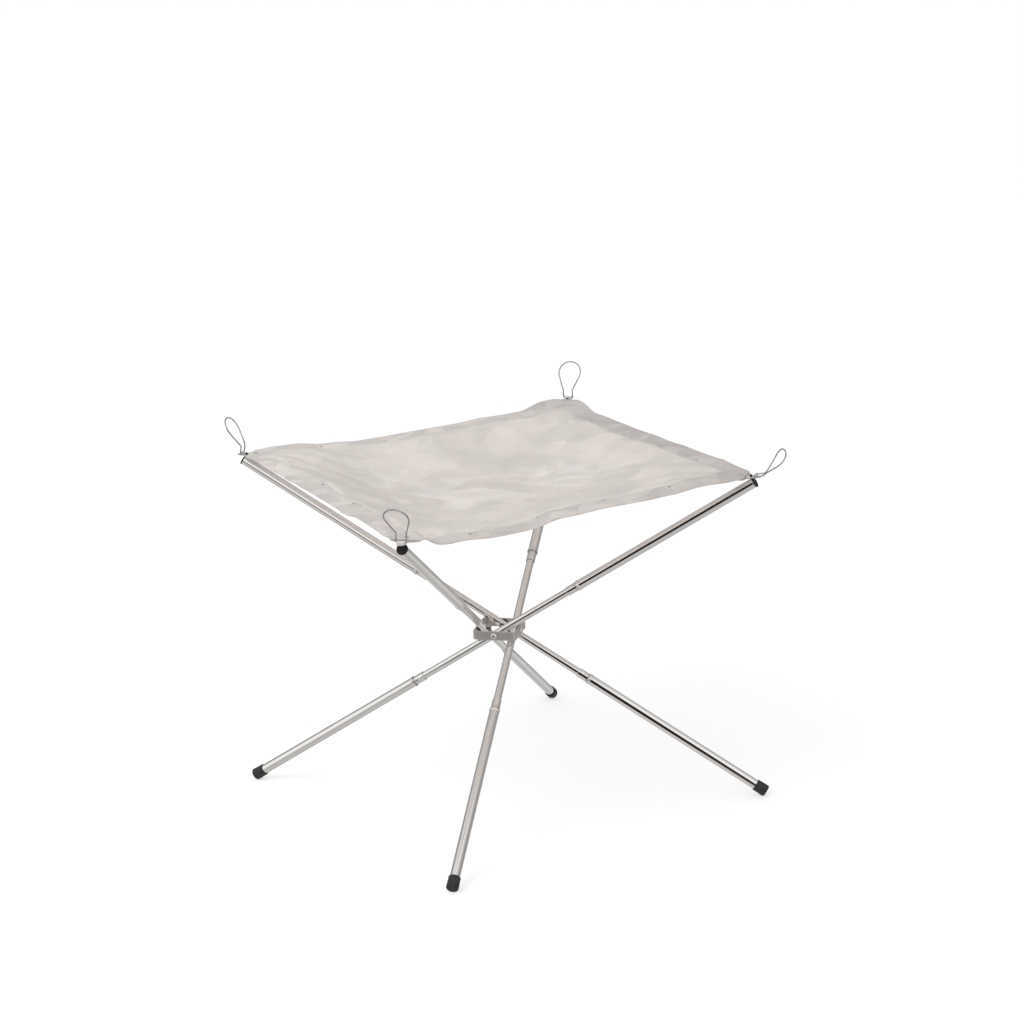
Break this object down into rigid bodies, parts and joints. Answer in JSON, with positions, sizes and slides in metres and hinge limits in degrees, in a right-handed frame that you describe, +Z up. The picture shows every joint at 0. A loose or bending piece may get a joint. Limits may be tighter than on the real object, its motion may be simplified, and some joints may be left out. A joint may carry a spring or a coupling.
{
  "type": "bonfire stand",
  "caption": "Folding bonfire stand: telescopic poles cross in a square hub ring and hold up a sheet of woven steel mesh that carries the fire.",
  "frame": {"origin": "on the ground, under the axis of the hub ring", "axes": "+Z up; +X towards the pole top at the picture's right corner, +Y towards the back corner"},
  "size_m": [0.6323, 0.6163, 0.4142],
  "materials": {
    "polished_tube": "polished",
    "brushed_band": "satin",
    "fasteners": "gloss",
    "spacers": "satin",
    "rubber_caps": "matte",
    "black_plugs": "satin",
    "woven_mesh": "satin",
    "plates": "satin",
    "wire_rings": "gloss"
  },
  "bodies": {
    "hub": {"hub_ring": "brushed_band", "pivot_screw_1": "fasteners", "pivot_screw_2": "fasteners", "pivot_screw_3": "fasteners", "pivot_screw_4": "fasteners", "pivot_spacer_1": "spacers", "pivot_spacer_2": "spacers", "pivot_spacer_3": "spacers", "pivot_spacer_4": "spacers", "pivot_nut_1": "fasteners", "pivot_nut_2": "fasteners", "pivot_nut_3": "fasteners", "pivot_nut_4": "fasteners"},
    "pole_1": {"middle_tube_1": "polished_tube"},
    "upper_1": {"upper_tube_1": "polished_tube", "top_plug_1": "black_plugs"},
    "lower_1": {"lower_tube_1": "polished_tube", "foot_cap_1": "rubber_caps"},
    "pole_2": {"middle_tube_2": "polished_tube"},
    "upper_2": {"upper_tube_2": "polished_tube", "top_plug_2": "black_plugs"},
    "lower_2": {"lower_tube_2": "polished_tube", "foot_cap_2": "rubber_caps"},
    "pole_3": {"middle_tube_3": "polished_tube"},
    "upper_3": {"upper_tube_3": "polished_tube", "top_plug_3": "black_plugs"},
    "lower_3": {"lower_tube_3": "polished_tube", "foot_cap_3": "rubber_caps"},
    "pole_4": {"middle_tube_4": "polished_tube"},
    "upper_4": {"upper_tube_4": "polished_tube", "top_plug_4": "black_plugs"},
    "lower_4": {"lower_tube_4": "polished_tube", "foot_cap_4": "rubber_caps"},
    "mesh": {"mesh_sheet": "woven_mesh", "corner_plate_1": "plates", "corner_plate_2": "plates", "corner_plate_3": "plates", "corner_plate_4": "plates", "corner_rivet_1": "fasteners", "corner_rivet_2": "fasteners", "corner_rivet_3": "fasteners", "corner_rivet_4": "fasteners"},
    "ring_1": {"pull_ring_1": "wire_rings"},
    "ring_2": {"pull_ring_2": "wire_rings"},
    "ring_3": {"pull_ring_3": "wire_rings"},
    "ring_4": {"pull_ring_4": "wire_rings"}
  },
  "joints": [
    {"name": "fold_1", "type": "hinge", "parent": "hub", "child": "pole_1", "pos_m": [0, -0.0166, 0.18589], "axis": [0, -1, 0], "range_deg": [0, 58]},
    {"name": "fold_2", "type": "hinge", "parent": "hub", "child": "pole_2", "pos_m": [0.0166, 0, 0.18589], "axis": [1, 0, 0], "range_deg": [0, 58]},
    {"name": "fold_3", "type": "hinge", "parent": "hub", "child": "pole_3", "pos_m": [0, 0.0166, 0.18589], "axis": [0, 1, 0], "range_deg": [0, 58]},
    {"name": "fold_4", "type": "hinge", "parent": "hub", "child": "pole_4", "pos_m": [-0.0166, 0, 0.18589], "axis": [-1, 0, 0], "range_deg": [0, 58]},
    {"name": "slide_upper_1", "type": "slide", "parent": "pole_1", "child": "upper_1", "axis": [-0.848, 0, -0.5299], "range_m": [0, 0.086]},
    {"name": "slide_lower_1", "type": "slide", "parent": "pole_1", "child": "lower_1", "axis": [0.848, 0, 0.5299], "range_m": [0, 0.086]},
    {"name": "slide_upper_2", "type": "slide", "parent": "pole_2", "child": "upper_2", "axis": [0, -0.848, -0.5299], "range_m": [0, 0.086]},
    {"name": "slide_lower_2", "type": "slide", "parent": "pole_2", "child": "lower_2", "axis": [0, 0.848, 0.5299], "range_m": [0, 0.086]},
    {"name": "slide_upper_3", "type": "slide", "parent": "pole_3", "child": "upper_3", "axis": [0.848, 0, -0.5299], "range_m": [0, 0.086]},
    {"name": "slide_lower_3", "type": "slide", "parent": "pole_3", "child": "lower_3", "axis": [-0.848, 0, 0.5299], "range_m": [0, 0.086]},
    {"name": "slide_upper_4", "type": "slide", "parent": "pole_4", "child": "upper_4", "axis": [0, 0.848, -0.5299], "range_m": [0, 0.086]},
    {"name": "slide_lower_4", "type": "slide", "parent": "pole_4", "child": "lower_4", "axis": [0, -0.848, 0.5299], "range_m": [0, 0.086]},
    {"name": "lift_mesh", "type": "slide", "parent": "hub", "child": "mesh", "axis": [0, 0, 1], "range_m": [0, 0.43]},
    {"name": "turn_ring_1", "type": "hinge", "parent": "mesh", "child": "ring_1", "pos_m": [0.29083, -0.01689, 0.37435], "axis": [0.058, 0.9983, 0], "range_deg": [-105, 28]},
    {"name": "turn_ring_2", "type": "hinge", "parent": "mesh", "child": "ring_2", "pos_m": [0.01689, 0.29083, 0.37435], "axis": [-0.9983, 0.058, 0], "range_deg": [-50, 120]},
    {"name": "turn_ring_3", "type": "hinge", "parent": "mesh", "child": "ring_3", "pos_m": [-0.29083, 0.01689, 0.37435], "axis": [-0.058, -0.9983, 0], "range_deg": [-50, 120]},
    {"name": "turn_ring_4", "type": "hinge", "parent": "mesh", "child": "ring_4", "pos_m": [-0.01689, -0.29083, 0.37435], "axis": [0.9983, -0.058, 0], "range_deg": [-52, 118]}
  ],
  "couplings": [
    {"joint": "fold_2", "follows": "fold_1", "ratio": 1},
    {"joint": "fold_3", "follows": "fold_1", "ratio": 1},
    {"joint": "fold_4", "follows": "fold_1", "ratio": 1},
    {"joint": "lift_mesh", "follows": "fold_1", "m_per_rad": 0.42}
  ]
}
